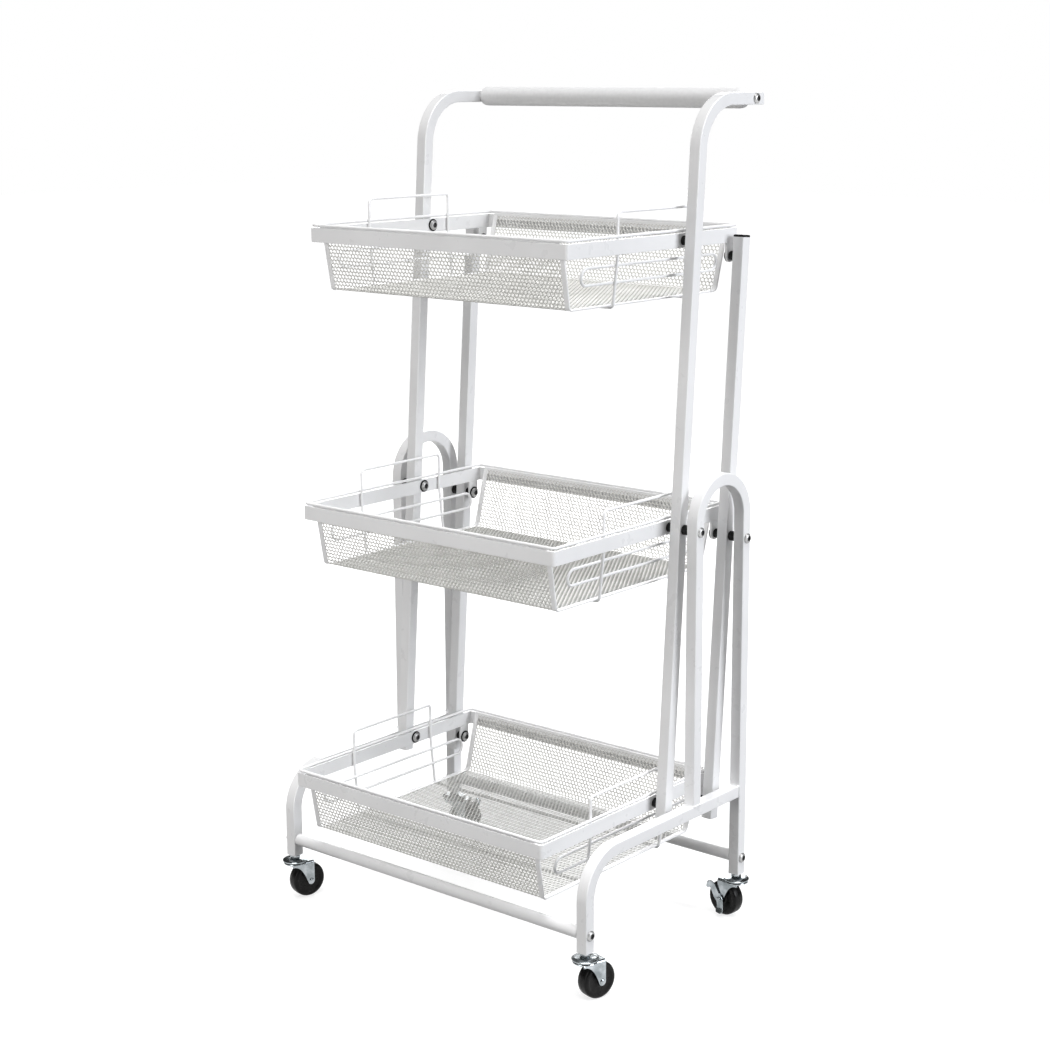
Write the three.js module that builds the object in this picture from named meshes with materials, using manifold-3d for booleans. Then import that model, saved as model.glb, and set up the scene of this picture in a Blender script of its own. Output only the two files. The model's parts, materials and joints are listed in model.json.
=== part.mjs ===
// Three-tier rolling utility cart. Millimetres, +Z up, front towards -Y, right towards +X.
// Origin: on the floor, under the centre of the whole cart's box.
// Two square-tube side frames on casters carry leaning posts; the three baskets hang level
// between the front and rear posts, so posts, baskets and base form a parallelogram linkage.
import * as THREE from 'three';
import { mergeVertices } from 'three/addons/utils/BufferGeometryUtils.js';
import Module from 'manifold-3d';

const wasm = await Module();
wasm.setup();

// ---------------------------------------------------------------- driving dimensions
const GAP = 0.3; // clearance between touching pieces
const TUBE = 13; // side of every square tube
const FRAME_HALF_WIDTH = 215; // to the outer faces of the side frames
const BASE_FRONT = -150.5; // front faces of the front legs
const BASE_REAR = 127.5; // rear faces of the rear legs
const LEG_BOTTOM = 51.5; // height of the leg ends, on top of the casters
const RAIL_TOP = 154.5; // top of the horizontal bars
const RAIL_BEND = 44; // centre-line radius between front leg and bar
const ARCH_TOP = 504; // top of the inverted-U arches
const PIVOT = { y: 36.5, z: 449 }; // front pivot on the arches
const LINK = { y: 84.5, z: -21 }; // from each front pivot to its rear pivot
const LEAN = THREE.MathUtils.degToRad(4.07); // posts lean back going up
const TIER_STEP = 294; // height from basket to basket
const POST_TAIL = 17; // post below the lowest pivot
const REAR_POST_HEAD = 20; // rear post above the highest pivot
const POST_OUTER = 193.5; // outer faces of the posts
const HANDLE_Z = 883.5; // centre of the handle
const HANDLE_Y = 156.6;
const HANDLE_BEND = 52; // centre-line radius at the post tops
const POST_TIP = 170.5; // rear ends of the bent posts
const GRIP_RADIUS = 10.5;
const HANDLE_TUBE_RADIUS = 6;
const CROSS_Z = 70.3; // centre of the round cross tubes
const CROSS_RADIUS = 6.5;
const BOLT = { shank: 3, hole: 3.4, head: 5.4, headHeight: 3.2, spacer: 5.6, sides: 8 };
const INSERT = { bolt: 11, bore: 13 }; // how far an end bolt, and its bore, run into a round tube

const BASKET = {
  halfWidth: 174, // outer faces of the strap
  front: -186, // strap front, from the front pivot
  rear: 98, // rim rear, from the front pivot
  strapHeight: 15,
  strap: 2.5,
  cornerRadius: 4,
  rimWire: 3,
  rimGap: 1.2, // between strap and rim wire
  bottom: -58.5, // underside of the tray, from the strap's middle
  wallFront: -177, // front wall at the strap's lower edge
  bottomFront: -168.5,
  bottomRear: 77,
  trayHalfWidth: 162,
  bottomHalfWidth: 161.5,
  sheet: 1.5,
};
const GUARD = {
  wire: 3,
  loopFront: -155,
  loopRear: 73,
  loopTop: -17,
  loopBottom: -37,
  hoopFront: -102,
  hoopRear: 23,
  hoopTop: 35,
  hoopCorner: 6,
};
const STEM = { radius: 4, length: 11 }; // caster stem inside the leg
const CASTER = {
  x: FRAME_HALF_WIDTH - TUBE / 2,
  axleZ: 19.5,
  trail: 14,
  wheelHalfWidth: 7.5,
  armInner: 8.6,
  armThickness: 1.8,
  plateRadius: 14,
  sides: 20,
};

// ---------------------------------------------------------------- materials
const material = (color, roughness, metalness) =>
  new THREE.MeshStandardMaterial({ color, roughness, metalness });
const whitePaint = () => material(0xeeeef2, 0.32, 0.0);
const wirePaint = () => material(0xf2f2f0, 0.35, 0.0);
const zinc = () => material(0xb9bec2, 0.3, 0.9);
const blackPlastic = () => material(0x0c0c0d, 0.35, 0.0);
const greyFoam = () => material(0xc2c2c2, 0.8, 0.0);

// ---------------------------------------------------------------- geometry helpers
const v3 = (x, y, z) => new THREE.Vector3(x, y, z);

// A path given by stations: straight runs with a round bend at each inner corner.
class BentPath extends THREE.Curve {
  constructor(corners, radius, bendSteps = 6) {
    super();
    this.points = [corners[0]];
    this.tangents = [corners[1].clone().sub(corners[0]).normalize()];
    for (let i = 1; i < corners.length - 1; i++) this.addBend(corners, i, radius, bendSteps);
    this.points.push(corners.at(-1));
    this.tangents.push(corners.at(-1).clone().sub(corners.at(-2)).normalize());
  }
  addBend(corners, i, radius, bendSteps) {
    const before = corners[i].clone().sub(corners[i - 1]).normalize();
    const after = corners[i + 1].clone().sub(corners[i]).normalize();
    const turn = before.angleTo(after);
    const setBack = radius * Math.tan(turn / 2);
    const start = corners[i].clone().addScaledVector(before, -setBack);
    const inward = after.clone().addScaledVector(before, -after.dot(before)).normalize();
    for (let s = 0; s <= bendSteps; s++) {
      const a = (turn * s) / bendSteps;
      const point = start.clone().addScaledVector(before, radius * Math.sin(a));
      this.points.push(point.addScaledVector(inward, radius * (1 - Math.cos(a))));
      const tangent = before.clone().multiplyScalar(Math.cos(a));
      this.tangents.push(tangent.addScaledVector(inward, Math.sin(a)));
    }
  }
  get steps() {
    return this.points.length - 1;
  }
  getPoint(t) {
    return this.points[Math.round(t * this.steps)].clone();
  }
  getSpacedPoints() {
    return this.points.map((p) => p.clone());
  }
  getTangentAt(u) {
    return this.tangents[Math.round(u * this.steps)].clone();
  }
}

const squareSection = (side) => polygon([[-side, -side], [side, -side], [side, side], [-side, side]]
  .map(([x, y]) => [x / 2, y / 2]));

function polygon(points) {
  return new THREE.Shape(points.map(([x, y]) => new THREE.Vector2(x, y)));
}

const squareTube = (path, side = TUBE) =>
  new THREE.ExtrudeGeometry(squareSection(side), { steps: path.steps, extrudePath: path });

const slab = (shape, thickness, curveSegments = 3) =>
  new THREE.ExtrudeGeometry(shape, { depth: thickness, bevelEnabled: false, curveSegments });

function roundedRectangle(x0, y0, x1, y1, r) {
  const shape = new THREE.Shape();
  shape.moveTo(x0 + r, y0);
  shape.lineTo(x1 - r, y0);
  shape.absarc(x1 - r, y0 + r, r, -Math.PI / 2, 0);
  shape.lineTo(x1, y1 - r);
  shape.absarc(x1 - r, y1 - r, r, 0, Math.PI / 2);
  shape.lineTo(x0 + r, y1);
  shape.absarc(x0 + r, y1 - r, r, Math.PI / 2, Math.PI);
  shape.lineTo(x0, y0 + r);
  shape.absarc(x0 + r, y0 + r, r, Math.PI, 1.5 * Math.PI);
  return shape;
}

function ring(x0, y0, x1, y1, r, width) {
  const shape = roundedRectangle(x0, y0, x1, y1, r);
  const inner = roundedRectangle(x0 + width, y0 + width, x1 - width, y1 - width, r - width);
  shape.holes.push(inner);
  return shape;
}

// A turned piece: [along, radius] pairs, with its axis along +X.
function turned(profile, sides = 12) {
  const lathe = new THREE.LatheGeometry(profile.map(([a, r]) => new THREE.Vector2(r, a)), sides);
  return lathe.rotateZ(-Math.PI / 2);
}

// The same with its axis along +Z.
const turnedUp = (profile, sides = 12) => turned(profile, sides).rotateY(-Math.PI / 2);

function rod(from, to, radius, sides = 8) {
  const length = from.distanceTo(to);
  const cylinder = new THREE.CylinderGeometry(radius, radius, length, sides);
  const turn = new THREE.Quaternion().setFromUnitVectors(v3(0, 1, 0), to.clone().sub(from).normalize());
  const middle = from.clone().lerp(to, 0.5);
  return cylinder.applyQuaternion(turn).translate(middle.x, middle.y, middle.z);
}

function box(x0, y0, z0, x1, y1, z1) {
  const geometry = new THREE.BoxGeometry(x1 - x0, y1 - y0, z1 - z0);
  return geometry.translate((x0 + x1) / 2, (y0 + y1) / 2, (z0 + z1) / 2);
}

// ---------------------------------------------------------------- booleans
function toSolid(geometry) {
  const bare = geometry.clone();
  bare.deleteAttribute('normal');
  bare.deleteAttribute('uv');
  const merged = mergeVertices(bare, 1e-4);
  return new wasm.Manifold(new wasm.Mesh({
    numProp: 3,
    vertProperties: new Float32Array(merged.attributes.position.array),
    triVerts: new Uint32Array(merged.index.array),
  }));
}

function toGeometry(solid) {
  const mesh = solid.getMesh();
  const geometry = new THREE.BufferGeometry();
  geometry.setAttribute('position', new THREE.BufferAttribute(mesh.vertProperties, 3));
  geometry.setIndex(new THREE.BufferAttribute(mesh.triVerts, 1));
  geometry.computeVertexNormals();
  return geometry;
}

const join = (...parts) => toGeometry(parts.map(toSolid).reduce((a, b) => a.add(b)));
const cut = (body, ...tools) =>
  toGeometry(tools.map(toSolid).reduce((solid, tool) => solid.subtract(tool), toSolid(body)));
const overlap = (a, b) => toGeometry(toSolid(a).intersect(toSolid(b)));

// ---------------------------------------------------------------- places
const POST_X = POST_OUTER - TUBE / 2;
const POST_INNER = POST_OUTER - TUBE;
const FRAME_INNER = FRAME_HALF_WIDTH - TUBE;
const FRONT_LEG_Y = BASE_FRONT + TUBE / 2;
const REAR_LEG_Y = BASE_REAR - TUBE / 2;
const sides = { left: -1, right: 1 };
const tiers = { top: 1, middle: 0, bottom: -1 };

// Middle of a basket's strap at its front pivot.
const tierPivot = (step) => ({ y: PIVOT.y + step * TIER_STEP * Math.tan(LEAN), z: PIVOT.z + step * TIER_STEP });

const cart = new THREE.Group();
function add(name, geometry, look, position = v3(0, 0, 0)) {
  const mesh = new THREE.Mesh(geometry, look);
  mesh.name = name;
  mesh.position.copy(position);
  cart.add(mesh);
  return mesh;
}

// ---------------------------------------------------------------- base
function sideRail(x) {
  const top = RAIL_TOP - TUBE / 2;
  const path = new BentPath([
    v3(x, FRONT_LEG_Y, LEG_BOTTOM),
    v3(x, FRONT_LEG_Y, top),
    v3(x, REAR_LEG_Y - TUBE / 2 - GAP, top),
  ], RAIL_BEND);
  return cut(squareTube(path), boltHole(x, FRONT_LEG_Y, CROSS_Z), stemSocket(x, FRONT_LEG_Y));
}

function arch(x) {
  const radius = LINK.y / 2;
  const crown = ARCH_TOP - TUBE / 2;
  const path = new BentPath([
    v3(x, REAR_LEG_Y, LEG_BOTTOM),
    v3(x, REAR_LEG_Y, crown),
    v3(x, PIVOT.y, crown),
    v3(x, PIVOT.y, RAIL_TOP + GAP),
  ], radius - 0.01);
  return cut(squareTube(path), boltHole(x, REAR_LEG_Y, CROSS_Z), stemSocket(x, REAR_LEG_Y),
    boltHole(x, PIVOT.y, PIVOT.z), boltHole(x, PIVOT.y + LINK.y, PIVOT.z + LINK.z));
}

const boltHole = (x, y, z, reach = TUBE) =>
  rod(v3(x - reach, y, z), v3(x + reach, y, z), BOLT.hole);
const stemSocket = (x, y) =>
  rod(v3(x, y, LEG_BOTTOM - 1), v3(x, y, LEG_BOTTOM + STEM.length + 1.5), STEM.radius + 0.4);

function boredTube(radius, halfLength) {
  const bore = BOLT.shank + GAP;
  const inner = halfLength - INSERT.bore;
  return turned([
    [-inner, 0], [-inner, bore], [-halfLength, bore], [-halfLength, radius],
    [halfLength, radius], [halfLength, bore], [inner, bore], [inner, 0],
  ]);
}

// A bolt whose head sits outside the face at `face`, with its shank running inwards to `tip`.
function outerBolt(side, face, tip) {
  const seat = face + GAP;
  const profile = [
    [tip, 0], [tip, BOLT.shank], [seat, BOLT.shank], [seat, BOLT.head],
    [seat + 0.6 * BOLT.headHeight, BOLT.head], [seat + BOLT.headHeight, 0.6 * BOLT.head], [seat + BOLT.headHeight, 0],
  ];
  return mirroredTurn(profile, side);
}

const mirroredTurn = (profile, side) =>
  (side > 0 ? turned(profile, BOLT.sides) : turned(profile, BOLT.sides).rotateZ(Math.PI));

for (const [name, side] of Object.entries(sides)) {
  const x = side * (FRAME_HALF_WIDTH - TUBE / 2);
  add(`side_rail_${name}`, sideRail(x), whitePaint());
  add(`arch_${name}`, arch(x), whitePaint());
}
for (const [name, y] of [['front', FRONT_LEG_Y], ['rear', REAR_LEG_Y]]) {
  add(`cross_tube_${name}`, boredTube(CROSS_RADIUS, FRAME_INNER - GAP), whitePaint(), v3(0, y, CROSS_Z));
  for (const [sideName, side] of Object.entries(sides)) {
    const bolt = outerBolt(side, FRAME_HALF_WIDTH, FRAME_INNER - INSERT.bolt);
    add(`cross_bolt_${name}_${sideName}`, bolt, zinc(), v3(0, y, CROSS_Z));
  }
}

// ---------------------------------------------------------------- casters
// Local frame: swivel axis +Z through the origin, trail towards +X, axle along Y, floor at z = 0.
const PLATE = { top: 46.8, seam: 43.6, forkTop: 43.2, forkBottom: 41.2 };
const NUT_RADIUS = 5;

function casterStem() {
  const r = CASTER.plateRadius;
  return turnedUp([
    [PLATE.forkBottom + GAP, 0], [PLATE.forkBottom + GAP, 3], [PLATE.seam, 3], [PLATE.seam, r],
    [PLATE.seam + 1.6, r], [PLATE.top, r - 2.5], [PLATE.top, NUT_RADIUS],
    [LEG_BOTTOM - GAP, NUT_RADIUS], [LEG_BOTTOM - GAP, STEM.radius],
    [LEG_BOTTOM + STEM.length, STEM.radius], [LEG_BOTTOM + STEM.length, 0],
  ]);
}

function casterFork(braked) {
  const plate = turnedUp([
    [PLATE.forkBottom, 3.4], [PLATE.forkBottom, 12.6], [PLATE.forkTop, 12.6], [PLATE.forkTop, 3.4],
    [PLATE.forkBottom, 3.4],
  ]);
  const arm = new THREE.Shape();
  arm.moveTo(-6, PLATE.forkTop - 0.4);
  arm.lineTo(CASTER.trail - 4, CASTER.axleZ - 1.5);
  arm.absarc(CASTER.trail, CASTER.axleZ, 4.2, 1.1 * Math.PI, 2 * Math.PI);
  arm.lineTo(CASTER.trail + 3, PLATE.forkTop - 0.4);
  const outer = CASTER.armInner + CASTER.armThickness;
  const arms = [-outer, CASTER.armInner].map((y) => slab(arm, CASTER.armThickness, 4)
    .rotateX(Math.PI / 2).translate(0, y + CASTER.armThickness, 0));
  const bridge = box(6, -outer, PLATE.forkBottom, CASTER.trail + 3, outer, PLATE.forkTop - 0.4);
  const leverEnd = braked ? 5 : 1.4; // the brake lever turns on the longer end
  const axle = rod(v3(CASTER.trail, -outer - 1.4, CASTER.axleZ),
    v3(CASTER.trail, outer + leverEnd, CASTER.axleZ), 2.4);
  return join(plate, ...arms, bridge, axle);
}

function casterWheel() {
  const w = CASTER.wheelHalfWidth;
  const flat = CASTER.axleZ / Math.cos(Math.PI / CASTER.sides); // corner radius that puts a flat side on the floor
  const bore = 2.8;
  const wheel = turned([
    [-w, bore], [w, bore], [w, flat - 3], [w - 2, flat], [2 - w, flat], [-w, flat - 3], [-w, bore],
  ].reverse(), CASTER.sides);
  wheel.rotateX(Math.PI / CASTER.sides).rotateZ(Math.PI / 2);
  return wheel.translate(CASTER.trail, 0, CASTER.axleZ);
}

// Pedal lever on the outer side of the fork, turning on the axle's end.
function brakeLever() {
  const y = CASTER.armInner + CASTER.armThickness + 2;
  const lever = new THREE.Shape();
  lever.moveTo(CASTER.trail - 5, CASTER.axleZ - 14);
  lever.lineTo(CASTER.trail + 1, CASTER.axleZ - 16);
  lever.lineTo(CASTER.trail + 5, CASTER.axleZ);
  lever.lineTo(CASTER.trail + 12, CASTER.axleZ + 14);
  lever.lineTo(CASTER.trail + 8, CASTER.axleZ + 17);
  lever.lineTo(CASTER.trail - 4.5, CASTER.axleZ + 2);
  const plate = slab(lever, 1.6).rotateX(Math.PI / 2).translate(0, y + 1.6, 0);
  const pedal = box(CASTER.trail + 7.5, y, CASTER.axleZ + 15, CASTER.trail + 14, y + 7, CASTER.axleZ + 17);
  const hole = rod(v3(CASTER.trail, y - 3, CASTER.axleZ), v3(CASTER.trail, y + 5, CASTER.axleZ), 2.8);
  return cut(join(plate, pedal), hole);
}

const casters = {
  front_left: { side: -1, y: FRONT_LEG_Y, heading: 76, brake: false },
  front_right: { side: 1, y: FRONT_LEG_Y, heading: 76, brake: false },
  rear_left: { side: -1, y: REAR_LEG_Y, heading: 20, brake: true },
  rear_right: { side: 1, y: REAR_LEG_Y, heading: 174, brake: true },
};
for (const [name, { side, y, heading, brake }] of Object.entries(casters)) {
  const swivel = (geometry) => geometry.rotateZ(THREE.MathUtils.degToRad(heading));
  const place = v3(side * CASTER.x, y, 0);
  add(`caster_stem_${name}`, casterStem(), zinc(), place);
  add(`caster_fork_${name}`, swivel(casterFork(brake)), zinc(), place);
  add(`caster_wheel_${name}`, swivel(casterWheel()), blackPlastic(), place);
  if (brake) {
    add(`brake_lever_${name}`, swivel(brakeLever()), zinc(), place);
  }
}

// ---------------------------------------------------------------- posts and handle
const alongPost = (pivot, distance) =>
  v3(0, pivot.y + distance * Math.sin(LEAN), pivot.z + distance * Math.cos(LEAN));
const POST_STEP = TIER_STEP / Math.cos(LEAN);
const rearPivot = (pivot) => ({ y: pivot.y + LINK.y, z: pivot.z + LINK.z });

// Holes for the basket bolts start at the post's inner face and stop inside it.
function pivotHoles(side, pivotOf) {
  return Object.entries(tiers).map(([name, step]) => {
    const pivot = pivotOf(tierPivot(step));
    const end = name === 'middle' ? POST_OUTER + 1 : POST_OUTER - 2;
    return rod(v3(side * (POST_INNER - 1), pivot.y, pivot.z), v3(side * end, pivot.y, pivot.z), BOLT.hole);
  });
}

function frontPost(side) {
  const x = side * POST_X;
  const foot = alongPost(PIVOT, -POST_STEP - POST_TAIL).setX(x);
  const corner = alongPost(PIVOT, (HANDLE_Z - PIVOT.z) / Math.cos(LEAN)).setX(x);
  const path = new BentPath([foot, corner, v3(x, POST_TIP, HANDLE_Z)], HANDLE_BEND, 7);
  return cut(squareTube(path), ...pivotHoles(side, (pivot) => pivot), boltHole(x, HANDLE_Y, HANDLE_Z));
}

function rearPost(side) {
  const x = side * POST_X;
  const pivot = rearPivot(PIVOT);
  const path = new BentPath([
    alongPost(pivot, -POST_STEP - POST_TAIL).setX(x),
    alongPost(pivot, POST_STEP + REAR_POST_HEAD).setX(x),
  ], 1);
  return cut(squareTube(path), ...pivotHoles(side, rearPivot));
}

function postCap(side) {
  const head = alongPost(rearPivot(PIVOT), POST_STEP + REAR_POST_HEAD + GAP);
  const cap = box(-TUBE / 2, -TUBE / 2, 0, TUBE / 2, TUBE / 2, 2.2).rotateX(-LEAN);
  return cap.translate(side * POST_X, head.y, head.z);
}

function gripSleeve() {
  const bore = HANDLE_TUBE_RADIUS + GAP;
  const end = POST_INNER - GAP;
  const r = GRIP_RADIUS;
  return turned([
    [-end, bore], [end, bore], [end, r - 2.5], [end - 3, r], [3 - end, r], [-end, r - 2.5], [-end, bore],
  ].reverse(), 16);
}

for (const [name, side] of Object.entries(sides)) {
  add(`front_post_${name}`, frontPost(side), whitePaint());
  add(`rear_post_${name}`, rearPost(side), whitePaint());
  add(`post_cap_${name}`, postCap(side), blackPlastic());
  add(`handle_bolt_${name}`, outerBolt(side, POST_OUTER, POST_INNER - INSERT.bolt), zinc(), v3(0, HANDLE_Y, HANDLE_Z));
}
add('handle_tube', boredTube(HANDLE_TUBE_RADIUS, POST_INNER - GAP), whitePaint(), v3(0, HANDLE_Y, HANDLE_Z));
add('handle_grip', gripSleeve(), greyFoam(), v3(0, HANDLE_Y, HANDLE_Z));

// ---------------------------------------------------------------- pivot bolts, each with its spacers
const STRAP_INNER = BASKET.halfWidth - BASKET.strap;

// Head inside the basket's strap, spacer between strap and post, shank in the post.
function basketBolt(side) {
  const head = STRAP_INNER - GAP;
  return mirroredTurn([
    [head - BOLT.headHeight, 0], [head - BOLT.headHeight, 0.6 * BOLT.head],
    [head - 0.6 * BOLT.headHeight, BOLT.head], [head, BOLT.head], [head, BOLT.shank],
    [BASKET.halfWidth + GAP, BOLT.shank], [BASKET.halfWidth + GAP, BOLT.spacer],
    [POST_INNER - GAP, BOLT.spacer], [POST_INNER - GAP, BOLT.shank],
    [POST_OUTER - 3, BOLT.shank], [POST_OUTER - 3, 0],
  ], side);
}

// Runs from inside the middle basket's strap through post and arch, with a head at each end.
function archBolt(side) {
  const inner = STRAP_INNER - GAP;
  const seat = FRAME_HALF_WIDTH + GAP;
  return mirroredTurn([
    [inner - BOLT.headHeight, 0], [inner - BOLT.headHeight, 0.6 * BOLT.head],
    [inner - 0.6 * BOLT.headHeight, BOLT.head], [inner, BOLT.head], [inner, BOLT.shank],
    [BASKET.halfWidth + GAP, BOLT.shank], [BASKET.halfWidth + GAP, BOLT.spacer],
    [POST_INNER - GAP, BOLT.spacer], [POST_INNER - GAP, BOLT.shank],
    [POST_OUTER + GAP, BOLT.shank], [POST_OUTER + GAP, BOLT.spacer],
    [FRAME_INNER - GAP, BOLT.spacer], [FRAME_INNER - GAP, BOLT.shank],
    [seat, BOLT.shank], [seat, BOLT.head], [seat + 0.6 * BOLT.headHeight, BOLT.head],
    [seat + BOLT.headHeight, 0.6 * BOLT.head], [seat + BOLT.headHeight, 0],
  ], side);
}

for (const [tier, step] of Object.entries(tiers)) {
  const front = tierPivot(step);
  const rear = rearPivot(front);
  for (const [name, side] of Object.entries(sides)) {
    for (const [end, pivot] of [['front', front], ['rear', rear]]) {
      const place = v3(0, pivot.y, pivot.z);
      const bolt = step === 0 ? archBolt(side) : basketBolt(side);
      add(`pivot_bolt_${tier}_${end}_${name}`, bolt, zinc(), place);
    }
  }
}

// ---------------------------------------------------------------- baskets
// Local frame: the front pivot, at the middle of the strap's height.
const half = BASKET.strapHeight / 2;
const EAR_RADIUS = 7;

// Flat band standing on edge, bent round all four corners.
function strapBand() {
  const w = BASKET.halfWidth;
  const outline = ring(-w, BASKET.front, w, BASKET.rear, BASKET.cornerRadius, BASKET.strap);
  return slab(outline, BASKET.strapHeight).translate(0, 0, -half);
}

// Round wire above the band, on a narrow lip along the front and the rear.
function rimRing() {
  const w = BASKET.halfWidth;
  const low = half + BASKET.rimGap;
  const outline = ring(-w, BASKET.front, w, BASKET.rear, BASKET.cornerRadius, BASKET.rimWire);
  const wire = slab(outline, BASKET.rimWire).translate(0, 0, low);
  const lip = (y) => box(-BASKET.bottomHalfWidth, y - 0.6, half - 0.5, BASKET.bottomHalfWidth, y + 0.6, low + 0.5);
  return join(wire, lip(BASKET.front + BASKET.strap / 2), lip(BASKET.rear - BASKET.strap / 2));
}

// Rounded ear hanging from each side of the band, carrying the rear pivot.
function strapTab(side) {
  const tab = new THREE.Shape();
  tab.moveTo(LINK.y - EAR_RADIUS, 0);
  tab.lineTo(LINK.y - EAR_RADIUS, LINK.z);
  tab.absarc(LINK.y, LINK.z, EAR_RADIUS, Math.PI, 2 * Math.PI);
  tab.lineTo(LINK.y + EAR_RADIUS, 0);
  const inner = side > 0 ? STRAP_INNER : -BASKET.halfWidth;
  return standing(slab(tab, BASKET.strap)).translate(inner, 0, 0);
}

// Turns a slab drawn as (y, z) and thick along its third axis to stand with its thickness along +X.
const standing = (geometry) => geometry.rotateX(Math.PI / 2).rotateZ(Math.PI / 2);

function basketFrame() {
  const w = BASKET.halfWidth;
  const body = join(strapBand(), strapTab(-1), strapTab(1), rimRing());
  const holes = [[0, 0], [LINK.y, LINK.z]].flatMap(([y, z]) => [-1, 1].map((side) =>
    rod(v3(side * (STRAP_INNER - 1), y, z), v3(side * (w + 1), y, z), BOLT.hole)));
  return cut(body, ...holes);
}

// Folded tray: front wall, bottom and rear wall, narrower towards the bottom.
function tray() {
  const t = BASKET.sheet;
  const top = half - 1;
  const front = BASKET.front + BASKET.strap + 0.5;
  const rear = BASKET.rear - 3;
  const profile = polygon([
    [front, top], [BASKET.wallFront, -half],
    [BASKET.bottomFront, BASKET.bottom], [BASKET.bottomRear, BASKET.bottom],
    [rear, top], [rear - t, top], [BASKET.bottomRear - t, BASKET.bottom + t],
    [BASKET.bottomFront + t, BASKET.bottom + t], [BASKET.wallFront + t, -half], [front + t, top],
  ].reverse());
  const wide = BASKET.trayHalfWidth;
  const folded = standing(slab(profile, 2 * wide)).translate(-wide, 0, 0);
  const low = BASKET.bottomHalfWidth;
  const edges = polygon([[-low, BASKET.bottom - 1], [low, BASKET.bottom - 1], [wide, -half], [wide, top + 1],
    [-wide, top + 1], [-wide, -half]]);
  const reach = BASKET.rear - BASKET.front;
  const taper = slab(edges, 2 * reach).rotateX(Math.PI / 2).translate(0, reach, 0);
  return overlap(folded, taper);
}

// Wire guard: on each open side a long loop crossed by a hoop that stands up above the rim;
// the hoops' legs are joined by wires that run across under the tray.
function guard() {
  const w = GUARD.wire;
  const foot = BASKET.bottom - GAP - w;
  const loop = ring(GUARD.loopFront, GUARD.loopBottom, GUARD.loopRear, GUARD.loopTop,
    (GUARD.loopTop - GUARD.loopBottom) / 2 - 0.01, w);
  const leg = (y) => polygon([[y - w / 2, foot], [y + w / 2, foot], [y + w / 2, -half], [y - w / 2, -half]]);
  const flat = [loop, leg(GUARD.hoopFront), leg(GUARD.hoopRear)].map((shape) => standing(slab(shape, w)));
  const upperX = BASKET.halfWidth - BASKET.rimWire - GAP - w;
  const lowerX = BASKET.bottomHalfWidth + GAP;
  const slope = Math.atan2(upperX - lowerX, -half - BASKET.bottom);
  const lower = join(...flat).translate(0, 0, half).rotateY(slope).translate(upperX, 0, -half);
  const upper = standing(slab(hoopOutline(), w, 4)).translate(upperX, 0, 0);
  const right = join(lower, upper);
  const cross = [GUARD.hoopFront, GUARD.hoopRear].map((y) =>
    box(-lowerX - w, y - w / 2, foot, lowerX + w, y + w / 2, foot + w));
  return join(right, mirrored(right), ...cross);
}

function hoopOutline() {
  const w = GUARD.wire;
  const r = GUARD.hoopCorner;
  const front = GUARD.hoopFront - w / 2;
  const rear = GUARD.hoopRear + w / 2;
  const start = -half - 1;
  const hoop = new THREE.Shape();
  hoop.moveTo(front, start);
  hoop.lineTo(front + w, start);
  hoop.lineTo(front + w, GUARD.hoopTop - r);
  hoop.absarc(front + r, GUARD.hoopTop - r, r - w, Math.PI, Math.PI / 2, true);
  hoop.lineTo(rear - r, GUARD.hoopTop - w);
  hoop.absarc(rear - r, GUARD.hoopTop - r, r - w, Math.PI / 2, 0, true);
  hoop.lineTo(rear - w, start);
  hoop.lineTo(rear, start);
  hoop.absarc(rear - r, GUARD.hoopTop - r, r, 0, Math.PI / 2);
  hoop.absarc(front + r, GUARD.hoopTop - r, r, Math.PI / 2, Math.PI);
  return hoop;
}

function mirrored(geometry) {
  const flipped = geometry.clone().scale(-1, 1, 1);
  const index = flipped.index.array;
  for (let i = 0; i < index.length; i += 3) [index[i], index[i + 1]] = [index[i + 1], index[i]];
  flipped.computeVertexNormals();
  return flipped;
}

for (const [tier, step] of Object.entries(tiers)) {
  const pivot = tierPivot(step);
  const place = v3(0, pivot.y, pivot.z);
  add(`basket_frame_${tier}`, basketFrame(), whitePaint(), place);
  add(`basket_tray_${tier}`, tray(), wirePaint(), place);
  add(`wire_guard_${tier}`, guard(), wirePaint(), place);
}

export default cart;
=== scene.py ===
"""Rolling utility cart: the looks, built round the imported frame.

Metres, +Z up, front towards -Y, right towards +X. Every piece is mesh made in the row frame and
rides on the body that it belongs to.
"""

import json
import math

import bmesh
import bpy
import numpy as np
from mathutils import Matrix, Vector


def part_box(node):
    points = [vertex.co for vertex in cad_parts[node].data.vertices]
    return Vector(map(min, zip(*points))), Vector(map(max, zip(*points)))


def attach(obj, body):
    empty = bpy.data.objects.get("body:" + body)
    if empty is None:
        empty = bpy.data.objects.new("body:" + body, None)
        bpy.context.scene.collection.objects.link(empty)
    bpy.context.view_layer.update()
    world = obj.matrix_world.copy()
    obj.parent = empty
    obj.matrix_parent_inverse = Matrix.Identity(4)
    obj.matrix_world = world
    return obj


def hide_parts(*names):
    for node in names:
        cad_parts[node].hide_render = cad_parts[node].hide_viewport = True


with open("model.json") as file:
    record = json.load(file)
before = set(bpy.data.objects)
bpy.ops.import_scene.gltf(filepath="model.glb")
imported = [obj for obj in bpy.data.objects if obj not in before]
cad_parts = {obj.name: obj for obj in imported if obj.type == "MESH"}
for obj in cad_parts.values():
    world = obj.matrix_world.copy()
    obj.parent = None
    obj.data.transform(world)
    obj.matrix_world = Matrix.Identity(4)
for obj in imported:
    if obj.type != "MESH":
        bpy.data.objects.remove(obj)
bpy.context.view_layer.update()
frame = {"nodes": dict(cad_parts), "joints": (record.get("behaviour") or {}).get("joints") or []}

SIDES = {"left": -1, "right": 1}
TIERS = ("top", "middle", "bottom")
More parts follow.
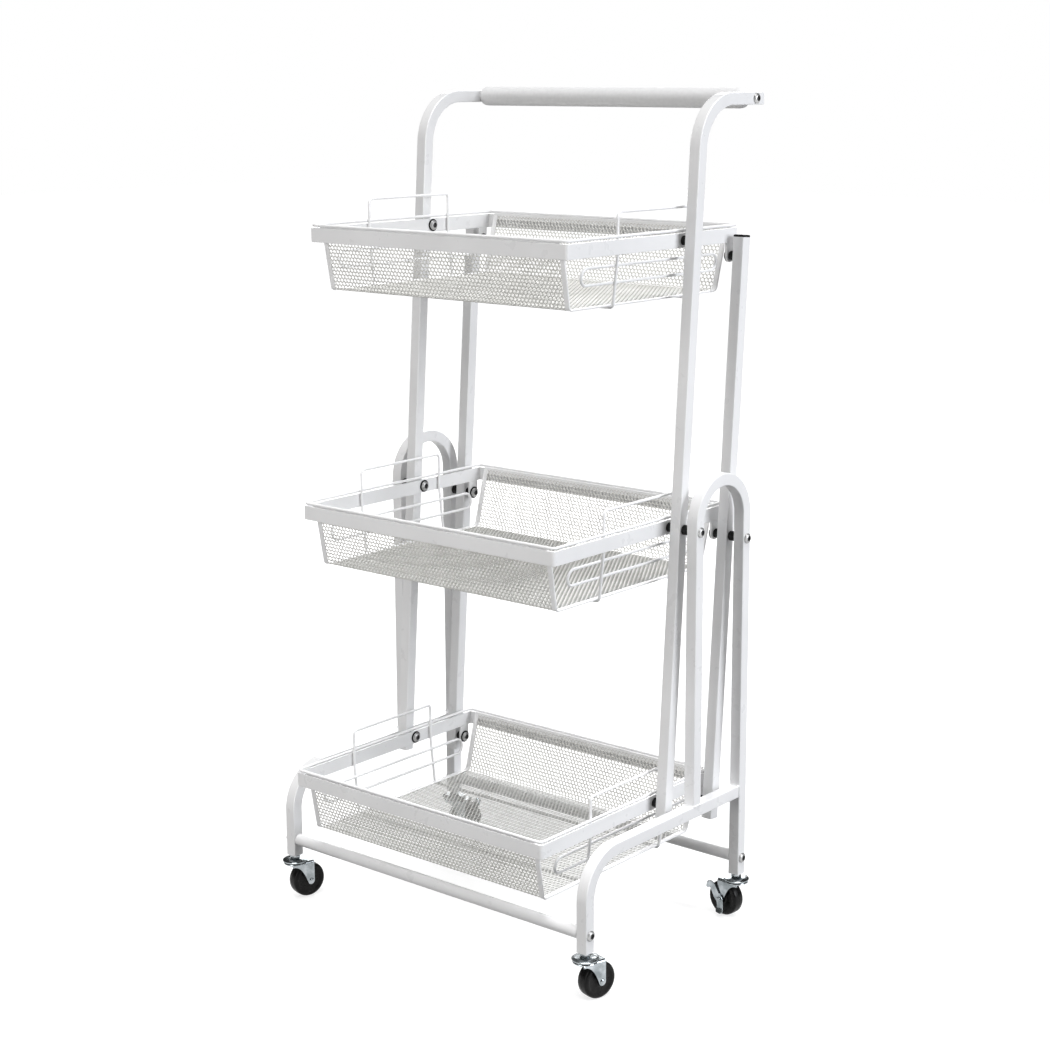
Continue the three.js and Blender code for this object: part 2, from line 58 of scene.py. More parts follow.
CORNERS = ("front_left", "front_right", "rear_left", "rear_right")
X, Y, Z = Vector((1, 0, 0)), Vector((0, 1, 0)), Vector((0, 0, 1))


# ---------------------------------------------------------------- what the frame says
def joint(name):
    """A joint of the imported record."""
    return next(j for j in frame["joints"] if j["name"] == name)


def joint_point(name):
    return Vector(joint(name)["pos_m"])


def middle(node):
    low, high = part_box(node)
    return (low + high) / 2


def size(node):
    low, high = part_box(node)
    return high - low


TUBE = size("side_rail_right").x  # side of every square tube
PIVOTS = {tier: joint_point(f"basket_{tier}_level") for tier in TIERS}
LINK = joint_point("rear_post_swing") - joint_point("fold")
POST_UP = (PIVOTS["top"] - PIVOTS["bottom"]).normalized()
STRAP_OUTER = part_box("basket_frame_top")[1].x
POST_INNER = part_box("front_post_right")[0].x
POST_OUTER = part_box("front_post_right")[1].x
FRAME_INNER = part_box("arch_right")[0].x
FRAME_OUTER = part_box("arch_right")[1].x

# ---------------------------------------------------------------- driving dimensions
CORNER = 0.0011  # rounding along the edges of a square tube
PLUG = 0.0012  # depth of the recess in a post's open end
RAIL_BEND = 0.044  # centre-line radius between front leg and bar
HANDLE_BEND = 0.052  # and between front post and handle
BEAD = 0.0010  # radius of a weld bead
POST_TAIL = 0.017  # post below its lowest pivot
POST_HEAD = 0.020  # rear post above its highest pivot
STRAP = 0.0025  # thickness of the flat strap
STRAP_HEIGHT = 0.015
RING_CORNER = 0.0035  # outer radius at the strap's corners
RIM_CORNER = 0.006  # and of the rim wire
RIM = 0.0015  # radius of the rim wire
RIM_GAP = 0.0012  # between strap and rim wire
GUARD = 0.0015  # radius of the guard wire
EAR = 0.007  # radius of the ear round a rear pivot
TRAY_LOW = 0.1615  # half width of the tray at its bottom
TRAY_HIGH = 0.1620  # and at its top
TRAY_FRONT = -0.1760  # front wall below the strap, from the front pivot
FLOOR_FRONT = -0.1675  # front edge of the tray's floor
REAR_LEAN = 0.018  # how far the rear wall leans outwards
TRAY_DEPTH = 0.0578  # the floor's middle, below the pivot
HOOP_FRONT, HOOP_REAR = -0.102, 0.023  # legs of the guard's hoop, from the front pivot
LOOP_FRONT, LOOP_REAR = -0.1535, 0.0715  # ends of the guard's loop, from the front pivot
LOOP_LOW, LOOP_HIGH = -0.0355, -0.0185  # its two wires, from the pivot
SHEET = 0.0009  # thickness of the expanded mesh
CELL = 0.00476  # mesh cell, across the tray
ROW = 0.00381  # row to row, along the tray
STRAND = 0.0013  # width of the metal between two cells
HEM = 0.005  # width of the plain band along the mesh
EDGE_WIRE = 0.0011  # radius of the wire along it
CLEAR = 1e-5  # keeps two bends that share one straight from meeting


# ---------------------------------------------------------------- mesh helpers
STRAIGHT = 1.0005  # a mitre below this counts as no bend
SHARP = 35  # degrees between two faces that keep a hard edge
FINE = 20000  # meshes with more polygons keep their plain normals


class Shape:
    """The vertices and faces of one piece while it is made."""

    def __init__(self):
        self.verts = []
        self.faces = []

    def ring(self, points):
        first = len(self.verts)
        self.verts.extend(Vector(p) for p in points)
        return list(range(first, len(self.verts)))

    def bridge(self, a, b):
        """Faces between two closed rings of the same length."""
        n = len(a)
        for i in range(n):
            k = (i + 1) % n
            self.faces.append((a[i], a[k], b[k], b[i]))

    def skin(self, rings):
        """Bridges each ring to the next one."""
        for a, b in zip(rings, rings[1:]):
            self.bridge(a, b)

    def fan(self, ring, tip):
        """Faces from a closed ring to one vertex."""
        for a, b in zip(ring, ring[1:] + ring[:1]):
            self.faces.append((a, b, tip))

    def face(self, ring, flip=False):
        self.faces.append(tuple(ring[::-1] if flip else ring))

    def solid(self, rings):
        """A closed body: a face on the first ring, the skin, a face on the last ring."""
        self.face(rings[0], flip=True)
        self.skin(rings)
        self.face(rings[-1])
        return self

    def move(self, matrix):
        self.verts = [matrix @ v for v in self.verts]
        return self


def bent_path(corners, radius, steps, closed=False):
    """The points of a path with a round bend at each inner corner."""
    corners = [Vector(c) for c in corners]
    n = len(corners)
    points = []
    for i, corner in enumerate(corners):
        if not closed and i in (0, n - 1):
            points.append(corner)
            continue
        before = (corner - corners[i - 1]).normalized()
        after = (corners[(i + 1) % n] - corner).normalized()
        turn = before.angle(after)
        r = radius[i] if isinstance(radius, list) else radius
        start = corner - before * (r * math.tan(turn / 2))
        inward = (after - before * after.dot(before)).normalized()
        for s in range(steps + 1):
            a = turn * s / steps
            points.append(start + before * (r * math.sin(a)) + inward * (r * (1 - math.cos(a))))
    return points


def circle(radius, count):
    turns = [2 * math.pi * i / count for i in range(count)]
    return [(radius * math.cos(a), radius * math.sin(a)) for a in turns]


def rounded_box(width, height, radius, steps=3):
    """A rectangular section with round corners, anticlockwise."""
    points = []
    for cx, cy, start in ((1, 1, 0), (-1, 1, 90), (-1, -1, 180), (1, -1, 270)):
        for s in range(steps + 1):
            a = math.radians(start + 90 * s / steps)
            points.append((cx * (width / 2 - radius) + radius * math.cos(a),
                           cy * (height / 2 - radius) + radius * math.sin(a)))
    return points


def path_frames(points, side, closed):
    """For each point of a path: the section's two axes, carried along without twist."""
    n = len(points)
    tangents = []
    for i in range(n):
        ahead = points[(i + 1) % n] if closed or i < n - 1 else points[i]
        behind = points[i - 1] if closed or i > 0 else points[i]
        forward, back = ahead - points[i], points[i] - behind
        tangents.append((forward.normalized() + back.normalized()).normalized())
    u = (side - tangents[0] * side.dot(tangents[0])).normalized()
    frames = []
    for i in range(n):
        if i:
            turn = tangents[i - 1].rotation_difference(tangents[i])
            u = turn @ u
            u = (u - tangents[i] * u.dot(tangents[i])).normalized()
        frames.append((u.copy(), tangents[i].cross(u)))
    return frames


def sweep(shape, points, section, side=X, closed=False, plug=0.0):
    """Runs a section along a path. Open ends are closed, with a recess of depth `plug`."""
    points = [Vector(p) for p in points]
    frames = path_frames(points, side, closed)
    rings = []
    for i, (point, (u, v)) in enumerate(zip(points, frames)):
        bend = 1.0
        if 0 < i < len(points) - 1 or closed:
            a = (points[i] - points[i - 1]).normalized()
            b = (points[(i + 1) % len(points)] - points[i]).normalized()
            mitre = 1 / max(0.5, math.cos(a.angle(b) / 2))
            bend = mitre if mitre > STRAIGHT else 1.0
        rings.append(shape.ring(point + u * x + v * (y * bend) for x, y in section))
    shape.skin(rings)
    if closed:
        shape.bridge(rings[-1], rings[0])
        return shape
    for ring, inward, flip in ((rings[0], points[1] - points[0], True),
                               (rings[-1], points[-2] - points[-1], False)):
        end_cap(shape, ring, inward.normalized(), plug, flip)
    return shape


def end_cap(shape, ring, inward, plug, flip):
    """Closes the end of a tube. With a plug, its wall shows round a domed insert."""
    if not plug:
        shape.face(ring, flip)
        return
    points = [shape.verts[i] for i in ring]
    centre = sum(points, Vector()) / len(points)
    previous = ring
    for scale, depth in ((0.82, 0.0), (0.82, plug), (0.5, plug * 0.3)):
        level = shape.ring(centre + (p - centre) * scale + inward * depth for p in points)
        shape.bridge(*((level, previous) if flip else (previous, level)))
        previous = level
    shape.face(previous, flip)


def lathe(shape, profile, centre, axis, count, radial=lambda angle, radius: 1.0):
    """Turns (along, radius) pairs round an axis; radial(angle, radius) scales each radius."""
    axis = Vector(axis).normalized()
    u = axis.orthogonal().normalized() if abs(axis.z) > 0.9 else axis.cross(Z).normalized()
    v = axis.cross(u)
    centre = Vector(centre)
    previous = None
    for along, radius in profile:
        if radius == 0:
            level = shape.ring([centre + axis * along])
        else:
            turns = [2 * math.pi * i / count for i in range(count)]
            level = shape.ring(centre + axis * along + (u * math.cos(a) + v * math.sin(a)) * radius
                               * radial(a, radius) for a in turns)
        if previous and len(previous) > 1 and len(level) > 1:
            shape.bridge(previous, level)
        elif previous and len(level) == 1:
            shape.fan(previous, level[0])
        elif previous:
            shape.fan(level[::-1], previous[0])
        previous = level
    return shape


def plate(shape, outline, thickness, origin, across, up, edge):
    """A flat piece drawn as (across, up) points, with eased edges, thick towards across x up."""
    across, up, origin = Vector(across), Vector(up), Vector(origin)
    out = across.cross(up)
    shrunk = inset(outline, edge)
    levels = [(shrunk, 0), (outline, edge), (outline, thickness - edge), (shrunk, thickness)]
    rings = [shape.ring(origin + across * a + up * b + out * h for a, b in points)
             for points, h in levels]
    return shape.solid(rings)


def inset(outline, distance):
    """An anticlockwise outline moved inwards."""
    n = len(outline)
    result = []
    for i in range(n):
        (x0, y0), (x1, y1), (x2, y2) = outline[i - 1], outline[i], outline[(i + 1) % n]
        a = Vector((x1 - x0, y1 - y0)).normalized()
        b = Vector((x2 - x1, y2 - y1)).normalized()
        normal = Vector((-a.y - b.y, a.x + b.x))
        normal = normal.normalized() if normal.length > 1e-9 else Vector((-a.y, a.x))
        result.append((x1 + normal.x * distance, y1 + normal.y * distance))
    return result


def arc(cx, cy, radius, start, end, steps):
    """Points on an arc, with its angles in degrees."""
    turns = [math.radians(start + (end - start) * s / steps) for s in range(steps + 1)]
    return [(cx + radius * math.cos(a), cy + radius * math.sin(a)) for a in turns]


def turn_outwards(mesh):
    """Gives every closed surface of the mesh outward faces."""
    work = bmesh.new()
    work.from_mesh(mesh)
    bmesh.ops.recalc_face_normals(work, faces=work.faces)
    work.to_mesh(mesh)
    work.free()


def piece(name, shape, look, body, slot, *nodes, sharp=SHARP):
    """Makes the object, gives it its material and body, and hides the CAD nodes it stands for."""
    mesh = bpy.data.meshes.new(name)
    mesh.from_pydata([tuple(v) for v in shape.verts], [], shape.faces)
    mesh.validate()
    turn_outwards(mesh)
    mesh.shade_smooth()
    mesh.set_sharp_from_angle(angle=math.radians(sharp))
    mesh.materials.append(look)
    made = bpy.data.objects.new(name, mesh)
    bpy.context.scene.collection.objects.link(made)
    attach(made, body)
    if len(mesh.polygons) < FINE:
        made.modifiers.new("normals", "WEIGHTED_NORMAL").keep_sharp = True
    if nodes:
        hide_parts(*nodes)
    return made


# ---------------------------------------------------------------- materials
class Look:
    """A Principled material with procedural detail in object coordinates."""

    def __init__(self, name, roughness, metallic=0.0, **inputs):
        self.material = bpy.data.materials.new(name)
        self.material.use_nodes = True
        self.nodes = self.material.node_tree.nodes
        self.links = self.material.node_tree.links
        self.shader = self.nodes["Principled BSDF"]
        self.shader.inputs["Metallic"].default_value = metallic
        self.shader.inputs["Roughness"].default_value = roughness
        for key, value in inputs.items():
            self.shader.inputs[key.replace("_", " ")].default_value = value
        self.place = self.nodes.new("ShaderNodeTexCoord").outputs["Object"]

    def noise(self, scale, detail=2.0, stretch=(1, 1, 1)):
        mapping = self.nodes.new("ShaderNodeMapping")
        mapping.inputs["Scale"].default_value = stretch
        texture = self.nodes.new("ShaderNodeTexNoise")
        texture.inputs["Scale"].default_value = scale
        texture.inputs["Detail"].default_value = detail
        self.links.new(self.place, mapping.inputs["Vector"])
        self.links.new(mapping.outputs["Vector"], texture.inputs["Vector"])
        return texture.outputs["Fac"]

    def cells(self, scale):
        texture = self.nodes.new("ShaderNodeTexVoronoi")
        texture.inputs["Scale"].default_value = scale
        self.links.new(self.place, texture.inputs["Vector"])
        return texture.outputs["Distance"]

    def colour(self, source, dark, light, low=0.3, high=0.7):
        ramp = self.nodes.new("ShaderNodeValToRGB")
        ramp.color_ramp.elements[0].position = low
        ramp.color_ramp.elements[1].position = high
        ramp.color_ramp.elements[0].color = (*dark, 1)
        ramp.color_ramp.elements[1].color = (*light, 1)
        self.links.new(source, ramp.inputs["Fac"])
        self.links.new(ramp.outputs["Color"], self.shader.inputs["Base Color"])
        return self

    def roughness(self, source, low, high):
        spread = self.nodes.new("ShaderNodeMapRange")
        spread.inputs["From Min"].default_value = 0.25
        spread.inputs["From Max"].default_value = 0.75
        spread.inputs["To Min"].default_value = low
        spread.inputs["To Max"].default_value = high
        self.links.new(source, spread.inputs["Value"])
        self.links.new(spread.outputs["Result"], self.shader.inputs["Roughness"])
        return self

    def bump(self, source, strength, distance):
        node = self.nodes.new("ShaderNodeBump")
        node.inputs["Strength"].default_value = strength
        node.inputs["Distance"].default_value = distance
        previous = self.shader.inputs["Normal"].links
        if previous:
            self.links.new(previous[0].from_socket, node.inputs["Normal"])
        self.links.new(source, node.inputs["Height"])
        self.links.new(node.outputs["Normal"], self.shader.inputs["Normal"])
        return self


def white_paint():
    """Gloss powder coat: faint orange peel, slight tone changes along the tube."""
    look = Look("white_paint", 0.32, Coat_Weight=0.2, Coat_Roughness=0.15)
    look.colour(look.noise(14, 3), (0.80, 0.80, 0.805), (0.85, 0.85, 0.855))
    look.roughness(look.noise(60, 4), 0.24, 0.4)
    look.bump(look.noise(420, 2), 0.10, 0.0004)
    look.bump(look.noise(2600, 2), 0.06, 0.00008)
    return look.material


def wire_paint():
    """Powder coat on thin wire: a little heavier and less glossy."""
    look = Look("wire_paint", 0.36, Coat_Weight=0.15, Coat_Roughness=0.2)
    look.colour(look.noise(30, 3), (0.88, 0.88, 0.885), (0.93, 0.93, 0.935))
    look.roughness(look.noise(150, 3), 0.28, 0.46)
    look.bump(look.noise(900, 3), 0.12, 0.00015)
    return look.material


def mesh_paint():
    """Warm white coat pooled on the expanded mesh."""
    look = Look("mesh_paint", 0.42)
    look.colour(look.noise(40, 4), (0.64, 0.635, 0.605), (0.74, 0.735, 0.71))
    look.roughness(look.noise(300, 3), 0.32, 0.55)
    look.bump(look.noise(1300, 3), 0.2, 0.0001)
    return look.material


def zinc():
    """Bright zinc plate with its bluish cast and cloudy patches."""
    look = Look("zinc_plate", 0.2, metallic=1.0)
    look.colour(look.noise(90, 4), (0.22, 0.245, 0.255), (0.46, 0.49, 0.51), 0.35, 0.68)
    look.roughness(look.noise(200, 4), 0.12, 0.28)
    look.bump(look.noise(500, 3), 0.08, 0.00006)
    return look.material


def bolt_steel():
    """Satin plated steel with fine turning marks."""
    look = Look("bolt_steel", 0.22, metallic=1.0)
    look.colour(look.noise(300, 4), (0.28, 0.28, 0.28), (0.48, 0.48, 0.475))
    look.roughness(look.noise(500, 3), 0.40, 0.56)
    look.bump(look.noise(1500, 3, (1, 6, 6)), 0.12, 0.00006)
    return look.material


def socket_painted_shade():
    """Painted shade: near-black colour for the recess of a bolt head, which is plated steel lying in
    shade.
    """
    look = Look("bolt_recess_painted_shade", 0.5, metallic=0.6)
    look.colour(look.noise(800, 3), (0.015, 0.015, 0.015), (0.06, 0.06, 0.06))
    look.roughness(look.noise(900, 3), 0.35, 0.6)
    look.bump(look.noise(1800, 2), 0.2, 0.00005)
    return look.material


def gloss_black():
    """Moulded wheel: glossy, with dull scuffs on it."""
    look = Look("wheel_black", 0.3, Specular_IOR_Level=0.14)
    look.colour(look.noise(180, 5), (0.004, 0.004, 0.004), (0.013, 0.0125, 0.012), 0.4, 0.75)
    look.roughness(look.noise(240, 5), 0.2, 0.42)
    look.bump(look.noise(900, 4), 0.12, 0.00012)
    return look.material


def matt_black():
    """Black plastic of caps, washers and spacers."""
    look = Look("black_plastic", 0.42, Specular_IOR_Level=0.12)
    look.colour(look.noise(260, 4), (0.005, 0.005, 0.005), (0.014, 0.014, 0.0145))
    look.roughness(look.noise(500, 3), 0.34, 0.55)
    look.bump(look.noise(1600, 3), 0.25, 0.0001)
    return look.material


def grip_foam():
    """Light grey foam sleeve: closed cells under a smooth skin."""
    look = Look("grip_foam", 0.75, Sheen_Weight=0.1, Sheen_Roughness=0.6)
    look.colour(look.noise(260, 4), (0.70, 0.70, 0.705), (0.75, 0.75, 0.755), 0.3, 0.7)
    look.roughness(look.noise(400, 3), 0.68, 0.9)
    look.bump(look.cells(1400), 0.2, 0.00012)
    look.bump(look.noise(60, 3), 0.1, 0.0003)
    return look.material


PAINT, WIRE, MESH = white_paint(), wire_paint(), mesh_paint()
ZINC, STEEL, RECESS_SHADE = zinc(), bolt_steel(), socket_painted_shade()
WHEEL, BLACK, FOAM = gloss_black(), matt_black(), grip_foam()


# ---------------------------------------------------------------- tubes
def tube_section():
    return rounded_box(TUBE, TUBE, CORNER)


def weld(shape, centre, half_a, half_b, axis_a, axis_b):
    """A small fillet bead round a square joint, rippled like a run weld."""
    corner_radius, stride = 0.0016, 0.0009
    corners = [centre + axis_a * (half_a * i) + axis_b * (half_b * j)
               for i, j in ((1, 1), (-1, 1), (-1, -1), (1, -1))]
    loop = bent_path(corners, corner_radius, 3, closed=True)
    path = []
    for a, b in zip(loop, loop[1:] + loop[:1]):
        steps = max(1, round((b - a).length / stride))
        path.extend(a.lerp(b, s / steps) for s in range(steps))
    frames = path_frames(path, axis_a.cross(axis_b), True)
    rings = []
    for i, (point, (u, v)) in enumerate(zip(path, frames)):
        ripple = 0.16 * math.sin(2.1 * i) + 0.08 * math.sin(0.7 * i)
        section = circle(BEAD * (1 + ripple), 8)
        rings.append(shape.ring(point + u * x + v * y for x, y in section))
    shape.skin(rings + rings[:1])


def side_rail(side):
    low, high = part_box(f"side_rail_{side}")
    x, half = (low.x + high.x) / 2, TUBE / 2
    top = high.z - half
    path = bent_path([(x, low.y + half, low.z), (x, low.y + half, top), (x, high.y, top)],
                     RAIL_BEND, 20)
    shape = sweep(Shape(), path, tube_section())
    weld(shape, Vector((x, high.y, top)), half, half, X, Z)
    piece(f"rail_{side}", shape, PAINT, "base", "white_paint", f"side_rail_{side}")


def arch(side):
    low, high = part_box(f"arch_{side}")
    x, half = (low.x + high.x) / 2, TUBE / 2
    front, rear, crown = low.y + half, high.y - half, high.z - half
    rail_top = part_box(f"side_rail_{side}")[1].z
    corners = [(x, rear, low.z), (x, rear, crown), (x, front, crown), (x, front, rail_top)]
    path = bent_path(corners, (rear - front) / 2 - CLEAR, 22)
    shape = sweep(Shape(), path, tube_section())
    weld(shape, Vector((x, front, rail_top)), half, half, X, Y)
    piece(f"arch_tube_{side}", shape, PAINT, "base", "white_paint", f"arch_{side}")


def cross_tube(end):
    node = f"cross_tube_{end}"
    centre, extent = middle(node), size(node)
    half, r, edge = extent.x / 2, extent.z / 2, 0.0006
    profile = [(-half, 0), (-half, r - edge), (edge - half, r), (half - edge, r),
               (half, r - edge), (half, 0)]
    piece(f"cross_bar_{end}", lathe(Shape(), profile, centre, X, 40), PAINT, "base",
          "white_paint", node)


def front_post(side):
    low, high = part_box(f"front_post_{side}")
    x, handle_z = (low.x + high.x) / 2, high.z - TUBE / 2
    foot = PIVOTS["bottom"] - POST_UP * POST_TAIL
    corner = foot + POST_UP * ((handle_z - foot.z) / POST_UP.z)
    path = bent_path([(x, foot.y, foot.z), (x, corner.y, corner.z), (x, high.y, handle_z)],
                     HANDLE_BEND, 22)
    shape = sweep(Shape(), path, tube_section(), plug=PLUG)
    piece(f"post_front_{side}", shape, PAINT, "front_posts", "white_paint", f"front_post_{side}")


def rear_post(side):
    x = middle(f"rear_post_{side}").x
    foot = PIVOTS["bottom"] + LINK - POST_UP * POST_TAIL
    head = PIVOTS["top"] + LINK + POST_UP * POST_HEAD
    shape = sweep(Shape(), [(x, foot.y, foot.z), (x, head.y, head.z)], tube_section(), plug=PLUG)
    piece(f"post_rear_{side}", shape, PAINT, "rear_posts", "white_paint", f"rear_post_{side}")
    post_cap(side, Vector((x, head.y, head.z)))


def post_cap(side, seat):
    """A black cap with an eased top on the end of a rear post."""
    cap = Shape()
    levels = ((0.0001, 1.0), (0.0016, 1.0), (0.0023, 0.9), (0.0025, 0.7))
    rings = [cap.ring(seat + POST_UP * h + X * (a * k) + POST_UP.cross(X) * (b * k)
                      for a, b in tube_section()) for h, k in levels]
    piece(f"cap_{side}", cap.solid(rings), BLACK, "rear_posts", "cap", f"post_cap_{side}")


def handle():
    """Round bar between the posts, and a foam sleeve on it: eased ends, faint waves between."""
    centre, bar = middle("handle_grip"), size("handle_tube")
    half, r = size("handle_grip").x / 2, size("handle_grip").z / 2
    bore = bar.z / 2 + 0.0002
    plain, count = 0.02, 24
    ease = [(0.0, 0.72), (0.0006, 0.78), (0.002, 0.90), (0.0045, 0.975), (0.008, 1.0)]
    left = [(a - half, r * k) for a, k in ease]
    right = [(-a, radius) for a, radius in reversed(left)]
    waves = [(-half + plain + (2 * half - 2 * plain) * i / count,
              r * (0.996 + 0.003 * math.sin(i * 1.9))) for i in range(count + 1)]
    sleeve = [(-half, bore)] + left + waves + right + [(half, bore)]
    piece("grip_sleeve", lathe(Shape(), sleeve, centre, X, 40), FOAM, "front_posts", "grip",
          "handle_grip")
    half, r = bar.x / 2, bar.z / 2
    profile = [(-half, 0), (-half, r), (half, r), (half, 0)]
    piece("handle_bar", lathe(Shape(), profile, centre, X, 24), PAINT, "front_posts",
          "white_paint", "handle_tube")


# ---------------------------------------------------------------- bolts
HEAD = 0.0054  # radius of a bolt head
DOME = 0.0030  # its height
SOCKET = 0.0026  # corner radius of its hexagon socket
SHANK = 0.003  # radius of a pivot bolt, inside washers and bushes
SHADOW_WASHER = 0.0068  # outer radius of the black washer; its dark ring also stands in for the head's shadow (painted shadow)
SHADOW_BUSH = 0.005  # radius of the black bush between strap and post; the rim showing beside the post also stands in for the post's shadow on the strap (painted shadow)
SHADOW_COLLAR = 0.0052  # and of the one between post and arch; its rim also stands in for the shadow in that gap (painted shadow)


def hexagon(angle):
    """Distance from the middle to the side of a hexagon with corners at 1."""
    return math.cos(math.pi / 6) / math.cos(angle % (math.pi / 3) - math.pi / 6)


def socket_radius(angle, radius):
    """Makes the small rings of a bolt's recess six-sided."""
    return 1.0 if radius > SOCKET * 1.05 else hexagon(angle)


def bolt_head(name, seat, out, body, slot, shadow_washer, *nodes):
    """A domed socket head standing on `seat`, facing `out`, with a black washer if asked; the
    washer's dark ring also stands in for the shadow the head casts on the strap (painted shadow).
    """
    base = 0.0009 if shadow_washer else 0.0
    if shadow_washer:
        edge = SHADOW_WASHER - 0.0004
        ring = [(0.0, SHANK), (0.0, edge), (0.0003, SHADOW_WASHER), (0.0007, SHADOW_WASHER), (base, edge),
                (base, SHANK)]
        piece(f"{name}_washer", lathe(Shape(), ring, seat, out, 32), BLACK, body, "cap")
    flank, core = 0.0006, 0.0008
    dome = [(base, SHANK + 0.0002), (base, HEAD - 0.0003), (base + 0.0003, HEAD)]
    for degrees in (8, 22, 36, 50, 62):
        a = math.radians(degrees)
        dome.append((base + flank + (DOME - flank) * math.sin(a),
                     core + (HEAD - core) * math.cos(a)))
    crown = base + DOME * 0.93
    mouth = (crown, SOCKET + 0.0003)
    piece(name, lathe(Shape(), dome + [mouth], seat, out, 36), STEEL, body, slot, *nodes)
    # The socket's recess takes the near-black painted shade.
    recess = [mouth, (crown - 0.0001, SOCKET), (crown - 0.0013, SOCKET * 0.96),
              (crown - 0.0016, 0.0008), (crown - 0.0011, 0.0005), (crown - 0.0010, 0)]
    piece(f"{name}_socket", lathe(Shape(), recess, seat, out, 36, socket_radius), RECESS_SHADE, body, slot)


def shadow_spacer(name, start, end, place, body, r):
    """A black bush on a pivot bolt, from x = start to x = end. Its rim also stands in for the shadow
    between the parts on either side (painted shadow).
    """
    gap, edge = 0.0002, 0.0005
    low, high = min(start, end) + gap, max(start, end) - gap
    ring = [(low, SHANK), (low, r - edge), (low + edge, r), (high - edge, r), (high, r - edge),
            (high, SHANK), (low, SHANK)]
    piece(name, lathe(Shape(), ring, (0, place.y, place.z), X, 32), BLACK, body, "cap")


def end_bolts():
    for side, sign in SIDES.items():
        for end in ("front", "rear"):
            node = f"cross_bolt_{end}_{side}"
            centre = middle(node)
            seat = Vector((sign * FRAME_OUTER, centre.y, centre.z))
            bolt_head(f"bolt_cross_{end}_{side}", seat, X * sign, "base", "bolt", False, node)
        centre = middle(f"handle_bolt_{side}")
        seat = Vector((sign * POST_OUTER, centre.y, centre.z))
        bolt_head(f"bolt_handle_{side}", seat, X * sign, "front_posts", "bolt", False,
                  f"handle_bolt_{side}")


def pivot_bolts():
    """Inner heads on the straps, bushes between strap, post and arch, outer heads on the arches. The
    bushes' black rims also stand in for shadows between the parts (painted shadow).
    """
    for tier in TIERS:
        for end, offset in (("front", Vector()), ("rear", LINK)):
            place = PIVOTS[tier] + offset
            for side, sign in SIDES.items():
                node = f"pivot_bolt_{tier}_{end}_{side}"
                name = f"bolt_{tier}_{end}_{side}"
                body = "base" if tier == "middle" else f"{end}_posts"
                seat = Vector((sign * (STRAP_OUTER - STRAP), place.y, place.z))
                # The black washer under each inner head also stands in for the shadow the head casts
                # on the strap: painted shadow.
                bolt_head(f"{name}_inner", seat, X * -sign, body, "bolt", True, node)
                shadow_spacer(f"{name}_shadow_bush", sign * STRAP_OUTER, sign * POST_INNER, place, body, SHADOW_BUSH)
                if tier == "middle":
                    shadow_spacer(f"{name}_shadow_collar", sign * POST_OUTER, sign * FRAME_INNER, place, body,
                           SHADOW_COLLAR)
                    seat = Vector((sign * FRAME_OUTER, place.y, place.z))
                    bolt_head(f"{name}_outer", seat, X * sign, body, "bolt", False)


# ---------------------------------------------------------------- casters
PLATE = 0.014  # radius of the top plate
STEM = 0.0036  # radius of the stem above its nut
FORK_HALF = 0.0095  # from the middle to the middle of an arm
FORK_SHEET = 0.0016  # thickness of the pressed sheet
FORK_TOE = -0.0085  # the crown's end away from the axle
SKIRT = 0.0035  # depth of the sides there
SHOULDER = 0.0030  # bend between crown and arm
ARM_END = 0.0043  # radius of the arm's rounded end
WHEEL_HALF = 0.0074  # half width of the tread
LEVER_SHEET = 0.0016  # thickness of the brake lever


def caster_matrix(corner):
    """From the caster's own frame (trail along +X, floor at z = 0) to the row frame."""
    hub, axle = joint_point(f"swivel_{corner}"), joint_point(f"roll_{corner}")
    trail = Vector((axle.x - hub.x, axle.y - hub.y, 0))
    heading = math.atan2(trail.y, trail.x)
    return Matrix.Translation((hub.x, hub.y, 0)) @ Matrix.Rotation(heading, 4, "Z"), trail.length


def caster_stem(corner):
    """Hexagon nut, domed top plate with a rolled edge, and a thin black disc under the plate: painted
    shade for the gap above the fork.
    """
    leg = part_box("side_rail_right")[0].z
    place, _ = caster_matrix(corner)
    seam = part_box(f"caster_stem_{corner}")[0].z + 0.0024
    top = seam + 0.0032
    r, nut_r = PLATE, 0.0053
    profile = [(seam, 0.004), (seam, r - 0.0010), (seam + 0.0002, r - 0.0003), (seam + 0.0007, r),
               (seam + 0.0013, r - 0.0001), (seam + 0.0018, r - 0.0007),
               (seam + 0.0024, r - 0.0022), (top - 0.0003, r - 0.0042), (top, r - 0.0062),
               (top, 0.0052), (top + 0.0004, 0.0047), (top + 0.0004, 0.004)]
    shape = lathe(Shape(), profile, (0, 0, 0), Z, 48)
    nut = [(top + 0.0003, 0.0), (top + 0.0003, nut_r - 0.0007), (top + 0.0006, nut_r),
           (leg - 0.0012, nut_r), (leg - 0.0008, nut_r - 0.0005), (leg - 0.0008, STEM),
           (leg + 0.001, STEM)]
    lathe(shape, nut, (0, 0, 0), Z, 36, nut_radius)
    shape.move(place)
    piece(f"caster_top_{corner}", shape, ZINC, "base", "zinc", f"caster_stem_{corner}")
    # Painted shade: a thin black disc fills the gap between plate and fork.
    low_gap, high_gap, r = seam - 0.0008, seam + 0.0002, PLATE - 0.0014
    disc = [(low_gap, 0), (low_gap, r), (high_gap, r), (high_gap, 0)]
    gap = lathe(Shape(), disc, (0, 0, 0), Z, 40).move(place)
    piece(f"caster_gap_shade_{corner}", gap, BLACK, "base", "cap")


def nut_radius(angle, radius):
    """Makes the rings of a nut six-sided and leaves the stem round."""
    return 1.0 if radius <= STEM else hexagon(angle) * 1.08


